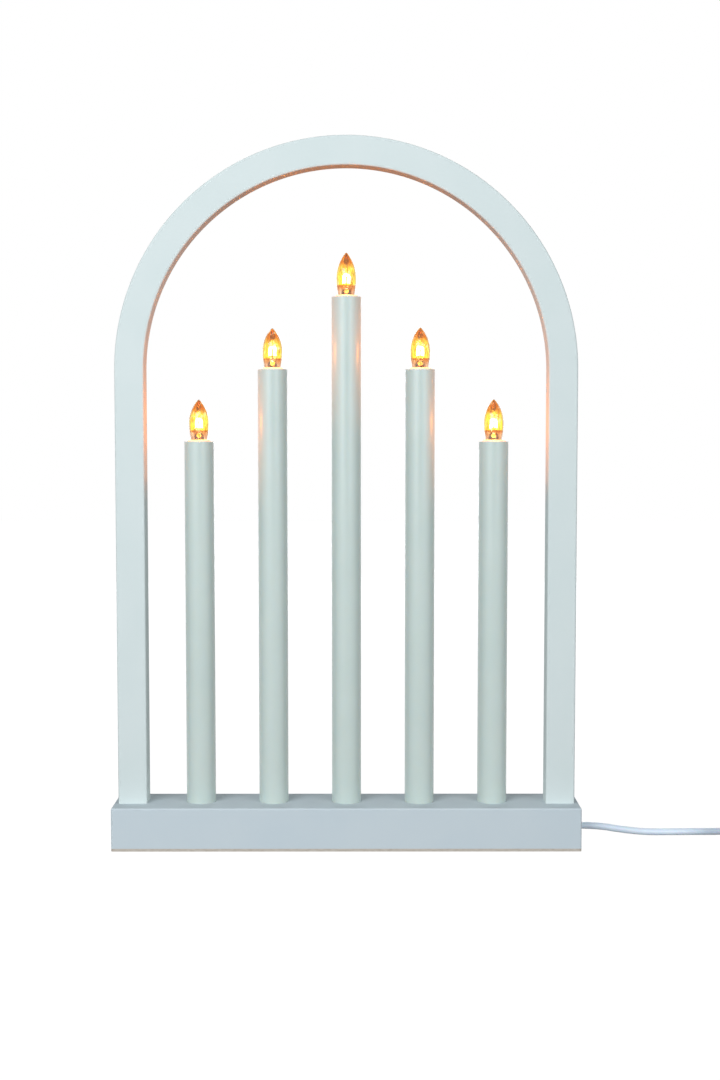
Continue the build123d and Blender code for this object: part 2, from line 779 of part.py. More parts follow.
# The cord from the base to the coil: down to the floor and along it. Hand chosen points
mains_cord_points = [
    (cord_exit_x, cord_exit_y, cord_exit_z),
    (cord_exit_x + cord_run_out, cord_exit_y, cord_exit_z),
    (199.0, 14.8, 6.2),
    (217.0, 19.8, 3.1),
    (237.0, 22.6, 2.5),
    (256.0, 23.2, 2.5),
    (273.0, 22.8, 2.6),
    (coil_entry.X - coil_run_in, coil_entry.Y, coil_entry.Z),
    (coil_entry.X, coil_entry.Y, coil_entry.Z),
]
mains_cord_radii = bend_radii(mains_cord_points)
with BuildPart() as mains_cord:
    with BuildLine() as mains_cord_path:
        FilletPolyline(*mains_cord_points, radius=mains_cord_radii)
    with BuildSketch(mains_cord_path.wire() ^ 0) as cord_section:
        RegularPolygon(cord_radius, cord_sides, rotation=180 / cord_sides)
    sweep()
save(mains_cord, "mains_cord")
report_tube("mains cord", mains_cord, cord_section.sketch.area, mains_cord_path.wire().length)
print("mains cord: radii", [round(radius) for radius in mains_cord_radii])

# The cord from the top of the coil down to the plug. Hand chosen points
plug_rear = (362.0, -3.0, plug_height / 2)
plug_lead_points = [
    (coil_leave.X, coil_leave.Y, coil_leave.Z),
    (coil_leave.X + coil_run_out, coil_leave.Y, coil_leave.Z),
    (342.8, 24.0, 16.2),
    (351.6, 20.3, 12.0),
    (358.4, 13.6, 8.5),
    (plug_rear[0], plug_rear[1] + plug_run_in, plug_rear[2]),
    plug_rear,
]
plug_lead_radii = bend_radii(plug_lead_points)
with BuildPart() as plug_lead:
    with BuildLine() as plug_lead_path:
        FilletPolyline(*plug_lead_points, radius=plug_lead_radii)
    with BuildSketch(plug_lead_path.wire() ^ 0):
        RegularPolygon(cord_radius, cord_sides, rotation=180 / cord_sides)
    sweep()
save(plug_lead, "plug_lead")
report_tube("plug lead", plug_lead, cord_section.sketch.area, plug_lead_path.wire().length)
print("plug lead: radii", [round(radius) for radius in plug_lead_radii])
cord_length = mains_cord_path.wire().length + coil_wire.length + plug_lead_path.wire().length
print(f"cord: whole free length {cord_length:.0f}")

# Band that ties the coil at its front, round all of its turns
with BuildPart() as coil_tie:
    inner_turn = coil_outer_radius - turn_pitch * layer_quarter_count / 4
    bow = tie_width**2 / 8 / (inner_turn - cord_radius)
    tie_inner = inner_turn - cord_radius - bow - tie_clearance
    tie_outer = coil_outer_radius + cord_radius + tie_clearance
    tie_top = coil_floor + turn_pitch * (coil_layer_count - 1) + cord_radius + tie_clearance
    tie_middle = (coil_centre_y - (tie_inner + tie_outer) / 2, (tie_top + tie_thickness) / 2)
    opening_width = tie_outer - tie_inner
    opening_height = tie_top - tie_thickness
    with BuildSketch(Plane(origin=(coil_centre_x, 0, 0), x_dir=(0, 1, 0), z_dir=(1, 0, 0))):
        with Locations(tie_middle):
            RectangleRounded(
                opening_width + 2 * tie_thickness, opening_height + 2 * tie_thickness,
                tie_corner + tie_thickness,
            )
            RectangleRounded(opening_width, opening_height, tie_corner, mode=Mode.SUBTRACT)
    extrude(amount=tie_width / 2, both=True)
save(coil_tie, "coil_tie")

# Flat plug: block, tapered waist and ribbed neck, then its two round pins
plug_length = plug_block_length + plug_taper_length + plug_neck_length
face_y = plug_rear[1] - plug_length
neck_start_y = face_y + plug_block_length + plug_taper_length


def plug_section(y):
    """Section plane of the plug, facing its pins' way."""
    return Plane(origin=(plug_rear[0], y, plug_rear[2]), x_dir=(1, 0, 0), z_dir=(0, -1, 0))


with BuildPart() as plug_body:
    with BuildSketch(plug_section(face_y)):
        RectangleRounded(plug_width, plug_height, plug_face_corner)
    extrude(amount=-plug_block_length)
    with BuildSketch(plug_section(face_y + plug_block_length)):
        RectangleRounded(plug_width, plug_height, plug_face_corner)
    with BuildSketch(plug_section(neck_start_y)):
        RectangleRounded(plug_waist_width, plug_waist_height, plug_waist_corner)
    loft()
    neck_plane = Plane(origin=plug_rear, x_dir=(1, 0, 0), z_dir=(0, 0, 1))
    groove_step = plug_neck_length / (neck_groove_count + 1)
    groove_ys = [-groove_step * (index + 1) for index in range(neck_groove_count)]
    with BuildSketch(neck_plane):
        with BuildLine():
            Polyline(
                (0, 0),
                (plug_neck_end_radius, 0),
                (plug_neck_radius, -plug_neck_length),
                (0, -plug_neck_length),
                close=True,
            )
        make_face()
        with Locations(*[(plug_neck_radius, y) for y in groove_ys]):
            Rectangle(2 * neck_groove_depth + plug_neck_radius - plug_neck_end_radius, neck_groove_width,
                      mode=Mode.SUBTRACT)
    revolve(axis=Axis(plug_rear, (0, 1, 0)))
save(plug_body, "plug_body")

with BuildPart() as plug_pins:
    with BuildSketch(plug_section(face_y)):
        with GridLocations(pin_spacing, 0, 2, 1):
            Circle(pin_sleeve_radius)
    extrude(amount=pin_sleeve_length)
    with BuildSketch(plug_section(face_y - pin_sleeve_length)):
        with GridLocations(pin_spacing, 0, 2, 1):
            Circle(pin_radius)
    extrude(amount=pin_length - pin_sleeve_length)
    chamfer(plug_pins.faces().sort_by(Axis.Y)[:2].edges(), pin_easing)
save(plug_pins, "plug_pins")
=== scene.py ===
"""The looks of an electric candle arch: paint, plastic, glowing lamps and the mains cord."""
import json
import logging
import math
from collections.abc import Sequence
from dataclasses import dataclass
from enum import Enum

import bmesh
import bpy
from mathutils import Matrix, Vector

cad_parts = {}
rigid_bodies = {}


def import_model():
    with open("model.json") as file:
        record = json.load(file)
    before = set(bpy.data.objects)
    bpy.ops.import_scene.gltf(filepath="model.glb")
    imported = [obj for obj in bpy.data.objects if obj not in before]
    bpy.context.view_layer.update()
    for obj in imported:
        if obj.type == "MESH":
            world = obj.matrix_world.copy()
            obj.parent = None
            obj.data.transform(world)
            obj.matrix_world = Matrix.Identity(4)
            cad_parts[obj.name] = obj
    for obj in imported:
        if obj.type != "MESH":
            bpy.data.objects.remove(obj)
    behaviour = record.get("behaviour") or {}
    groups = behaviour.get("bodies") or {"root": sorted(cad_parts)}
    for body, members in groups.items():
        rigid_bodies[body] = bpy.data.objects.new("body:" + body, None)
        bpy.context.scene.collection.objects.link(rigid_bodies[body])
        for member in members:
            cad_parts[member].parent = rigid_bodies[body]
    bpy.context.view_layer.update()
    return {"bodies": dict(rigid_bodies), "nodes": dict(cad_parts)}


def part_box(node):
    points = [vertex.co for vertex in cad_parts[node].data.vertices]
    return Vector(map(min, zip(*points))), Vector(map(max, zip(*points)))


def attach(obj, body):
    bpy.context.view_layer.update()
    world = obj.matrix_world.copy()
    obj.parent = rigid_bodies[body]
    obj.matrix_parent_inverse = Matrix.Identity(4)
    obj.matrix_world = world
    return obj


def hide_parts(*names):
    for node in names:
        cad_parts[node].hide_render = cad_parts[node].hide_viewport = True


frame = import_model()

log = logging.getLogger("candle_arch")

# Sizes are in metres. Those whose name ends in _mm, and points that MM scales later, are in millimetres
MM = 0.001
# Points nearer than MERGED become one, and edges shorter than SLIVER go
MERGED = 1e-6
SLIVER = 1e-7
# Steps round a pipe, along a bit of spline, along one whose line is read, and round a quarter of a wire
ROUND_STEPS = 96
SPLINE_STEPS = 8
READ_STEPS = 40
WIRE_STEPS = 5
CANDLES = range(1, 6)
Outline = list[tuple[float, float]]
Colour = tuple[float, float, float, float]
Triple = tuple[float, float, float]
Material = bpy.types.Material
Piece = bpy.types.Object
Skin = bmesh.types.BMesh
Tree = bpy.types.NodeTree
Socket = bpy.types.NodeSocket
Surface = tuple[Material, Tree, bpy.types.Node]


class Slot(Enum):
    """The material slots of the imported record."""

    PAINT = "painted_wood"
    HARDBOARD = "hardboard"
    TUBE = "white_plastic"
    HOLDER = "holder_plastic"
    BRASS = "brass"
    FOOT = "foot_glass"
    GLASS = "lamp_glass"
    FILAMENT = "filament_wire"
    CORD = "cord_sheath"
    WIRE = "wire_sheath"
    TERMINAL = "terminal_plastic"
    PLUG = "plug_plastic"
    SCREW = "screw_steel"
    PIN = "pin_metal"
    TIE = "tie_plastic"


def linear(hex_colour: str) -> Colour:
    """Turn an sRGB hex colour into linear light.

    Args:
        hex_colour: Six hex digits, such as "D8E2E4".

    Returns:
        Red, green, blue and an alpha of one.
    """
    shares = [int(hex_colour[place:place + 2], 16) / 255 for place in (0, 2, 4)]
    light = [share / 12.92 if share <= 0.04045 else ((share + 0.055) / 1.055) ** 2.4 for share in shares]
    return light[0], light[1], light[2], 1.0


def per_metre(size_mm: float) -> float:
    """Texture scale of a pattern that repeats about every size_mm."""
    return 1 / (size_mm * MM)


def add_node(
    tree: Tree,
    kind: str,
    inputs: dict | None = None,
    links: dict | None = None,
    stops: Sequence[tuple[float, str]] = (),
    **settings: object,
) -> bpy.types.Node:
    """Add a node with its settings and links.

    Args:
        tree: The node tree that gets the node.
        kind: The node's type name.
        inputs: Values of its own sockets, by name or number.
        links: Sockets that feed its inputs, by name or number.
        stops: Places and hex colours of a colour ramp.
        settings: The node's own properties.

    Returns:
        The new node.
    """
    node = tree.nodes.new(kind)
    for name, value in settings.items():
        setattr(node, name, value)
    for name, value in (inputs or {}).items():
        node.inputs[name].default_value = value
    for name, socket in (links or {}).items():
        tree.links.new(socket, node.inputs[name])
    for number, (place, colour) in enumerate(stops):
        elements = node.color_ramp.elements
        stop = elements[number] if number < len(elements) else elements.new(place)
        stop.position = place
        stop.color = linear(colour)
    return node


@dataclass(frozen=True)
class Relief:
    """A pattern that stands up from a surface, as blotches of one size that may be longer one way."""

    size_mm: float
    height_mm: float
    strength: float
    stretch: Triple = (1, 1, 1)


@dataclass(frozen=True)
class Finish:
    """What every finish starts from: a name, a colour and how rough the surface is.

    The colour drifts to a second tone between two levels of a noise pattern, and reliefs lie on it.
    """

    name: str
    colour: str
    roughness: float
    tone: str = "FFFFFF"
    tone_mm: float = 30
    tone_stretch: Triple = (1, 1, 1)
    tone_from: float = 0.35
    tone_to: float = 0.65
    reliefs: tuple[Relief, ...] = ()

    def inputs(self) -> dict:
        """Values for the shader's own sockets."""
        return {}

    def start(self) -> Surface:
        """Make the material with its main shader.

        Returns:
            The material, its node tree and its shader.
        """
        material = bpy.data.materials.new(self.name)
        material.use_nodes = True
        tree = material.node_tree
        tree.nodes.clear()
        values = {"Base Color": linear(self.colour), "Roughness": self.roughness, **self.inputs()}
        shader = add_node(tree, "ShaderNodeBsdfPrincipled", values)
        add_node(tree, "ShaderNodeOutputMaterial", links={"Surface": shader.outputs["BSDF"]})
        return material, tree, shader

    def noise(self, tree: Tree, size_mm: float, stretch: Triple) -> Socket:
        """Add a noise pattern of a real size.

        Args:
            tree: The material's node tree.
            size_mm: Size of the pattern's blotches.
            stretch: How many times longer the blotches are along X, Y and Z.

        Returns:
            The noise's level from place to place.
        """
        place = add_node(tree, "ShaderNodeTexCoord").outputs["Object"]
        shares = tuple(1 / length for length in stretch)
        drawn = add_node(tree, "ShaderNodeMapping", {"Scale": shares}, {"Vector": place})
        pattern = add_node(
            tree, "ShaderNodeTexNoise", {"Scale": per_metre(size_mm), "Detail": 3.0},
            {"Vector": drawn.outputs["Vector"]},
        )
        return pattern.outputs["Fac"]

    def material(self) -> Material:
        """Build the material with its drifting tone and its reliefs, one on another.

        Returns:
            The material.
        """
        material, tree, shader = self.start()
        ramp = add_node(
            tree, "ShaderNodeValToRGB", links={"Fac": self.noise(tree, self.tone_mm, self.tone_stretch)},
            stops=[(self.tone_from, self.colour), (self.tone_to, self.tone)],
        )
        tree.links.new(ramp.outputs["Color"], shader.inputs["Base Color"])
        links = {}
        for relief in self.reliefs:
            bump = add_node(
                tree, "ShaderNodeBump", {"Strength": relief.strength, "Distance": relief.height_mm * MM},
                {"Height": self.noise(tree, relief.size_mm, relief.stretch), **links},
            )
            links = {"Normal": bump.outputs["Normal"]}
        tree.links.new(links["Normal"], shader.inputs["Normal"])
        return material


@dataclass(frozen=True)
class SatinLacquer(Finish):
    """Satin lacquer on sanded wood, in several coats.

    It dries with a fine orange peel and a slightly uneven tone, and the wood under it shows only as
    faint long ripples. The peel is drawn coarser than it is, so that it shows at all.
    """

    tone_mm: float = 40
    reliefs: tuple[Relief, ...] = (
        Relief(size_mm=7.0, height_mm=0.05, strength=0.06, stretch=(5, 1, 5)),
        Relief(size_mm=1.6, height_mm=0.01, strength=0.08),
    )
    # With gloss, the white room would wash out the faces that are seen at a grazing angle
    gloss: float = 0.0

    def inputs(self) -> dict:
        """Values for the shader's own sockets."""
        return {"IOR": 1.5, "Specular IOR Level": self.gloss}


@dataclass(frozen=True)
class RigidPlastic(Finish):
    """Moulded or extruded hard plastic with faint lines along its flow.

    It shines softly, and light spreads in it as far as glow_mm. The lines are drawn coarser than life.
    """

    reliefs: tuple[Relief, ...] = (Relief(size_mm=1.2, height_mm=0.02, strength=0.2),)
    glow_mm: float = 0.0

    def inputs(self) -> dict:
        """Values for the shader's own sockets.

        Returns:
            Each value by its socket's name.
        """
        values = {"IOR": 1.49, "Specular IOR Level": 0.5}
        if self.glow_mm:
            values.update({
                "Subsurface Weight": 0.3, "Subsurface Radius": (1.0, 0.7, 0.5),
                "Subsurface Scale": self.glow_mm * MM,
            })
        return values


@dataclass(frozen=True)
class SoftSheath(Finish):
    """Soft PVC, extruded or moulded over copper: satin, with a fine grain, drawn coarser than life."""

    tone_mm: float = 14
    reliefs: tuple[Relief, ...] = (Relief(size_mm=0.9, height_mm=0.01, strength=0.12),)
    glow_mm: float = 0.5

    def inputs(self) -> dict:
        """Values for the shader's own sockets."""
        return {"IOR": 1.53, "Subsurface Weight": 0.1, "Subsurface Scale": self.glow_mm * MM}


@dataclass(frozen=True)
class WorkedMetal(Finish):
    """Sheet or turned metal: bright, with fine marks from the roll or the lathe."""

    tone_mm: float = 4
    reliefs: tuple[Relief, ...] = (Relief(size_mm=0.3, height_mm=0.01, strength=0.3, stretch=(1, 1, 8)),)

    def inputs(self) -> dict:
        """Values for the shader's own sockets."""
        return {"Metallic": 1.0}


@dataclass(frozen=True)
class PressedFibre(Finish):
    """Hardboard: wood fibre pressed hard, matt and mottled pale brown, drawn coarser than life."""

    tone_mm: float = 1.2
    tone_stretch: Triple = (3, 1, 1)
    reliefs: tuple[Relief, ...] = (Relief(size_mm=1.2, height_mm=0.06, strength=0.5, stretch=(3, 1, 1)),)


@dataclass(frozen=True)
class PaintedLightGlass(Finish):
    """Soda-lime lamp glass, blown, cut and drawn to a point, and lit from inside by its filament.

    The glass itself is clear. Its colours are painted light of the coil, which the glass bends and mirrors:
    painted glow, yellow round the coil and amber towards the tip, white painted highlights, and brown
    painted shade in streaks and at its edges.
    """

    foot_height: float = 0.0
    height: float = 1.0
    stops: tuple[tuple[float, str], ...] = ()
    # Colour of the streaks of painted shade
    streak_shade: str = "C88C50"
    streak_mm: float = 1.5
    streak_stretch: Triple = (1, 1, 4)
    streak_span: tuple[float, float] = (0.5, 0.34)
    # The white painted highlights: their colour, size, stretch and span in the noise
    highlight_colour: str = "FFFCE8"
    highlight_mm: float = 2.6
    highlight_stretch: Triple = (1, 1, 1.6)
    highlight_span: tuple[float, float] = (0.57, 0.68)
    # Painted shade where the glass is seen edge-on: its colour, and where and how it fades in
    edge: str = "8C5A26"
    edge_blend: float = 0.35
    edge_start: float = 0.36
    edge_width: float = 0.27
    # Strength of the painted glow that the glass gives off
    glow: float = 0.1

    def blend(self, tree: Tree, first: Socket, share: Socket, other: str) -> Socket:
        """Let a colour go over to another one.

        Args:
            tree: The material's node tree.
            first: The colour to start from.
            share: How far it goes over, from place to place.
            other: Hex colour that it goes over to.

        Returns:
            The blended colour.
        """
        mix = add_node(
            tree, "ShaderNodeMix", {7: linear(other)}, {0: share, 6: first}, data_type="RGBA",
        )
        return mix.outputs[2]

    def between(self, tree: Tree, value: Socket, low: float, high: float) -> Socket:
        """Share of the way that a value has gone from low to high.

        Args:
            tree: The material's node tree.
            value: The value.
            low: Where the share is zero.
            high: Where the share is one, which may lie below low.

        Returns:
            The share, between zero and one.
        """
        span = add_node(tree, "ShaderNodeMapRange", {"From Min": low, "From Max": high}, {"Value": value})
        return span.outputs["Result"]

    def inputs(self) -> dict:
        """Values for the shader's own sockets.

        Returns:
            Each value by its socket's name.
        """
        return {
            "IOR": 1.52, "Specular IOR Level": 0.15, "Transmission Weight": 1.0,
            "Emission Strength": self.glow,
        }

    def material(self) -> Material:
        """Build the glass, whose painted light changes from its foot to its tip.

        Returns:
            The material.
        """
        material, tree, shader = self.start()
        place = add_node(tree, "ShaderNodeTexCoord").outputs["Object"]
        parts = add_node(tree, "ShaderNodeSeparateXYZ", links={"Vector": place})
        # Painted light on the clear glass: glow by height, streaks of painted shade and white painted
        # highlights
        share = self.between(tree, parts.outputs["Z"], self.foot_height, self.foot_height + self.height)
        heights = add_node(tree, "ShaderNodeValToRGB", links={"Fac": share}, stops=self.stops)
        streaks = self.noise(tree, self.streak_mm, self.streak_stretch)
        painted_highlights = self.noise(tree, self.highlight_mm, self.highlight_stretch)
        # How squarely the glass is seen, for the painted shade at its edges
        facing = add_node(tree, "ShaderNodeLayerWeight", {"Blend": self.edge_blend}).outputs["Facing"]
        streaked = self.between(tree, streaks, *self.streak_span)
        colour = self.blend(tree, heights.outputs["Color"], streaked, self.streak_shade)
        colour = self.blend(tree, colour, self.between(tree, painted_highlights, *self.highlight_span), self.highlight_colour)
        rim = self.between(tree, facing, self.edge_start, self.edge_start + self.edge_width)
        colour = self.blend(tree, colour, rim, self.edge)
        tree.links.new(colour, shader.inputs["Emission Color"])
        tree.links.new(colour, shader.inputs["Base Color"])
        return material


@dataclass(frozen=True)
class Glare:
    """Light of the hot coil, and of the glare round it that thins further out."""

    name: str
    colour: str
    strength: float
    share: float

    def material(self) -> Material:
        """Build a shell of light, of which a share hides what lies behind.

        Returns:
            The material.
        """
        material = bpy.data.materials.new(self.name)
        material.use_nodes = True
        tree = material.node_tree
        tree.nodes.clear()
        light = add_node(
            tree, "ShaderNodeEmission", {"Color": linear(self.colour), "Strength": self.strength}
        )
        clear = add_node(tree, "ShaderNodeBsdfTransparent")
        both = add_node(
            tree, "ShaderNodeMixShader", {"Fac": self.share},
            {1: clear.outputs["BSDF"], 2: light.outputs["Emission"]},
        )
        add_node(tree, "ShaderNodeOutputMaterial", links={"Surface": both.outputs["Shader"]})
        # The lamp's point light stands for the light on its neighbours, so these shells aren't sampled
        material.cycles.emission_sampling = "NONE"
        return material


def eased(corners: Sequence[Triple], steps: int = 4) -> Outline:
    """Round the corners of a closed outline.

    Each arc gets a guard point on either side, which keeps the flats beside it flat under smooth shading.

    Args:
        corners: Place of each corner and its radius, which is zero for a sharp one.
        steps: How many straight steps each arc gets.

    Returns:
        The outline's points.
    """
    outline: Outline = []
    for number, (x, y, radius) in enumerate(corners):
        corner = Vector((x, y))
        if not radius:
            outline.append((x, y))
            continue
        before = (Vector(corners[number - 1][:2]) - corner).normalized()
        after = (Vector(corners[(number + 1) % len(corners)][:2]) - corner).normalized()
        half_turn = before.angle(after) / 2
        reach = radius / math.tan(half_turn)
        middle = corner + (before + after).normalized() * (radius / math.sin(half_turn))
        start = corner + before * reach - middle
        stop = corner + after * reach - middle
        outline.append(tuple(corner + before * (reach + radius / 2)))
        for step in range(steps + 1):
            outline.append(tuple(middle + start.slerp(stop, step / steps) * radius))
        outline.append(tuple(corner + after * (reach + radius / 2)))
    return outline


def stack(rings: Sequence[Sequence[Vector]], capped: bool = True) -> Skin:
    """Join rings of points, each to the next, into a skin.

    Args:
        rings: Rings with the same number of points, in order.
        capped: Whether the first and last rings are closed by a face.

    Returns:
        The skin, with its faces turned outwards.
    """
    skin = bmesh.new()
    made = [[skin.verts.new(point) for point in ring] for ring in rings]
    for ring, following in zip(made, made[1:]):
        for number in range(len(ring)):
            other = (number + 1) % len(ring)
            skin.faces.new((ring[number], ring[other], following[other], following[number]))
    if capped:
        skin.faces.new(reversed(made[0]))
        skin.faces.new(made[-1])
    bmesh.ops.recalc_face_normals(skin, faces=skin.faces)
    return skin


def lathe(outline: Outline, middle: Vector, closed: bool = True, segments: int = 64) -> Skin:
    """Turn a half outline about an upright axis.

    Args:
        outline: Radius and height of each point. An open outline starts and ends on the axis, and it
            goes up along the outside, so that a hollow piece keeps its inner face turned inwards.
        middle: Foot of the axis, from which the heights are measured.
        closed: Whether the outline's last point joins its first.
        segments: Steps in the whole turn.

    Returns:
        The turned skin, with points on the axis merged.
    """
    skin = bmesh.new()
    turns = [2 * math.pi * step / segments for step in range(segments)]
    rings = [
        [skin.verts.new(middle + Vector((r * math.cos(turn), r * math.sin(turn), z))) for turn in turns]
        for r, z in outline
    ]
    following_rings = rings[1:] + rings[:1] if closed else rings[1:]
    for ring, following in zip(rings, following_rings):
        for number in range(segments):
            other = (number + 1) % segments
            skin.faces.new((ring[number], ring[other], following[other], following[number]))
    bmesh.ops.remove_doubles(skin, verts=skin.verts, dist=MERGED)
    bmesh.ops.dissolve_degenerate(skin, edges=skin.edges, dist=SLIVER)
    if closed:
        bmesh.ops.recalc_face_normals(skin, faces=skin.faces)
    return skin


def add_piece(
    name: str,
    skin: Skin,
    material: Material,
    body: str,
    replaced: Sequence[str] = (),
    crease: float = 40,
) -> Piece:
    """Make a piece of the object from a skin and put it on its body.

    Args:
        name: The piece's name.
        skin: Its mesh, which is used up.
        material: Its material.
        body: The body that it rides on.
        replaced: The nodes that it stands for.
        crease: Angle in degrees over which an edge stays sharp.

    Returns:
        The piece.
    """
    mesh = bpy.data.meshes.new(name)
    skin.to_mesh(mesh)
    skin.free()
    mesh.shade_smooth()
    mesh.set_sharp_from_angle(angle=math.radians(crease))
    mesh.materials.append(material)
    piece = bpy.data.objects.new(name, mesh)
    bpy.context.scene.collection.objects.link(piece)
    return dress(piece, body, replaced)


def dress(piece: Piece, body: str, replaced: Sequence[str]) -> Piece:
    """Put a piece on its body, and hide the nodes that it stands for.

    Args:
        piece: The piece.
        body: The body that it rides on.
        replaced: The nodes that it stands for.

    Returns:
        The piece.
    """
    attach(piece, body)
    if replaced:
        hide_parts(*replaced)
    log.info("%s rides on %s", piece.name, body)
    return piece


def spline(name: str, points: Sequence[Vector], kind: str = "NURBS") -> bpy.types.Curve:
    """Make the data of a curve in space.

    Args:
        name: The curve's name.
        points: Its control points.
        kind: Type of the spline through them.

    Returns:
        The curve's data, with no thickness yet.
    """
    data = bpy.data.curves.new(name, "CURVE")
    data.dimensions = "3D"
    data.resolution_u = SPLINE_STEPS
    line = data.splines.new(kind)
    line.points.add(len(points) - 1)
    for point, place in zip(line.points, points):
        point.co = (*place, 1.0)
    line.order_u = 3
    line.use_endpoint_u = True
    return data


def add_wire(
    name: str,
    points: Sequence[Vector],
    radius: float,
    material: Material,
    kind: str = "NURBS",
) -> Piece:
    """Add a round wire along points.

    Args:
        name: The wire's name.
        points: Its control points.
        radius: Half its thickness.
        material: Its material.
        kind: Type of the spline through the points.

    Returns:
        The wire, as a curve with closed ends.
    """
    data = spline(name, points, kind)
    data.bevel_depth = radius
    data.bevel_resolution = WIRE_STEPS
    data.use_fill_caps = True
    data.materials.append(material)
    wire = bpy.data.objects.new(name, data)
    bpy.context.scene.collection.objects.link(wire)
    return wire


def smooth_points(points: Sequence[Vector]) -> list[Vector]:
    """Read the smooth line of a spline.

    Args:
        points: Its control points.

    Returns:
        Points along the line, close together.
    """
    data = spline("line", points)
    data.resolution_u = READ_STEPS
    guide = bpy.data.objects.new("line", data)
    line = [vertex.co.copy() for vertex in bpy.data.meshes.new_from_object(guide).vertices]
    bpy.data.objects.remove(guide)
    return line


def keep_unlit(piece: Piece) -> None:
    """Keep a lamp's piece out of the lighting, for which the lamp's point light stands.

    Args:
        piece: The piece, which then throws no shadow and lights nothing dull.
    """
    piece.visible_shadow = False
    piece.visible_diffuse = False


def repaint(nodes: Sequence[str], material: Material) -> None:
    """Give nodes that keep their own shape a better material.

    Args:
        nodes: The nodes' names.
        material: Their material.
    """
    for node in nodes:
        piece = frame["nodes"][node]
        piece.data.materials.clear()
        piece.data.materials.append(material)
        log.info("%s keeps its shape", node)


def add_seen(tree: Tree) -> Socket:
    """Add nodes that tell rays which show a surface, directly or in gloss and glass, from lighting rays.

    Args:
        tree: The node tree that gets them.

    Returns:
        One for a ray that shows the surface, and zero for one that lights it.
    """
    path = add_node(tree, "ShaderNodeLightPath")
    direct = add_node(
        tree, "ShaderNodeMath", operation="MAXIMUM",
        links={0: path.outputs["Is Camera Ray"], 1: path.outputs["Is Transmission Ray"]},
    )
    seen = add_node(
        tree, "ShaderNodeMath", operation="MAXIMUM",
        links={0: direct.outputs["Value"], 1: path.outputs["Is Glossy Ray"]},
    )
    return seen.outputs["Value"]


@dataclass
class Camera:
    """The photograph's camera, as fitted to the base, the arch and the candles, with angles in degrees."""

    place: Triple = (7.8 * MM, -1167.1 * MM, 298.1 * MM)
    pitch: float = 3.957
    yaw: float = -0.088
    lens_mm: float = 55.18
    film_mm: float = 36.0

    def build(self) -> None:
        """Make the camera and look through it."""
        data = bpy.data.cameras.new("camera")
        data.sensor_width = self.film_mm
        data.lens = self.lens_mm
        camera = bpy.data.objects.new("camera", data)
        camera.location = self.place
        camera.rotation_euler = (math.radians(90 - self.pitch), 0, math.radians(self.yaw))
        bpy.context.scene.collection.objects.link(camera)
        bpy.context.scene.camera = camera


@dataclass
class MainsLead:
    """The mains cord: out of the base, along the floor, wound up and tied, and down to its plug."""

    finishes: "Finishes"
    radius: float = 2.5 * MM
    exit: Triple = (165.0 * MM, 10.5 * MM, 10.3 * MM)
    length: float = 1803 * MM
    coil_middle: tuple[float, float] = (308.0 * MM, -10.6 * MM)
    coil_radius: float = 34.3 * MM
    coil_floor: float = 3.6 * MM
    pitch: float = 5.6 * MM
    layers: int = 4
    quarters_in_layer: int = 9
    steps_in_quarter: int = 6

    def lead_points(self) -> list[Vector]:
        """Route from the base to the coil, point by point.

        Returns:
            The route's points.
        """
        free = [
            (180.0, 10.5, 10.3), (199.0, 14.8, 6.2), (217.0, 19.8, 3.1), (237.0, 22.6, 2.5),
            (256.0, 23.2, 2.5), (273.0, 22.7, 2.6), (289.0, 23.7, 3.6), (303.0, 23.7, 3.6),
        ]
        return [Vector(self.exit)] + [Vector(point) * MM for point in free]

    def coil_points(self) -> list[Vector]:
        """Turns of the coil: in and out again at a steady rate, a layer higher each way.

        Returns:
            The points of all turns, as one line.
        """
        points = []
        quarters = self.layers * self.quarters_in_layer
        period = 2 * self.quarters_in_layer
        step_turn = math.pi / 2 / self.steps_in_quarter
        # A quadratic spline runs this much inside its points on a circle
        spread = 1 / math.cos(step_turn / 2)
        for step in range(quarters * self.steps_in_quarter + 1):
            quarter = step / self.steps_in_quarter
            way = quarter % period
            inward = min(way, period - way)
            radius = (self.coil_radius - self.pitch * inward / 4) * spread
            angle = math.pi / 2 * (1 - quarter)
            climbs = [
                min(1.0, max(0.0, (quarter - layer * self.quarters_in_layer + 1) / 2))
                for layer in range(1, self.layers)
            ]
            points.append(Vector((
                self.coil_middle[0] + radius * math.cos(angle),
                self.coil_middle[1] + radius * math.sin(angle),
                self.coil_floor + self.pitch * sum(climbs),
            )))
        return points

    def plug_points(self) -> list[Vector]:
        """Route from the top of the coil down to the plug's neck.

        Returns:
            The route's points.
        """
        free = [
            (313.0, 23.7, 20.4), (327.0, 23.7, 20.4), (342.8, 23.7, 16.2), (351.6, 20.2, 12.0),
            (358.4, 13.6, 8.5), (362.0, 4.8, 6.85), (362.0, -3.0, 6.85),
        ]
        return [Vector(point) * MM for point in free]

    def build(self) -> None:
        """Lay the cord as one spline and dress what is on it."""
        points = self.lead_points() + self.coil_points() + self.plug_points()
        lead = add_wire("mains_lead", points, self.radius, self.finishes.sheath)
        dress(lead, "base", ("mains_cord", "cord_coil", "plug_lead"))
        repaint(["plug_body"], self.finishes.plug)
        repaint(["plug_pins"], self.finishes.nickel)
        repaint(["coil_tie"], self.finishes.tie)


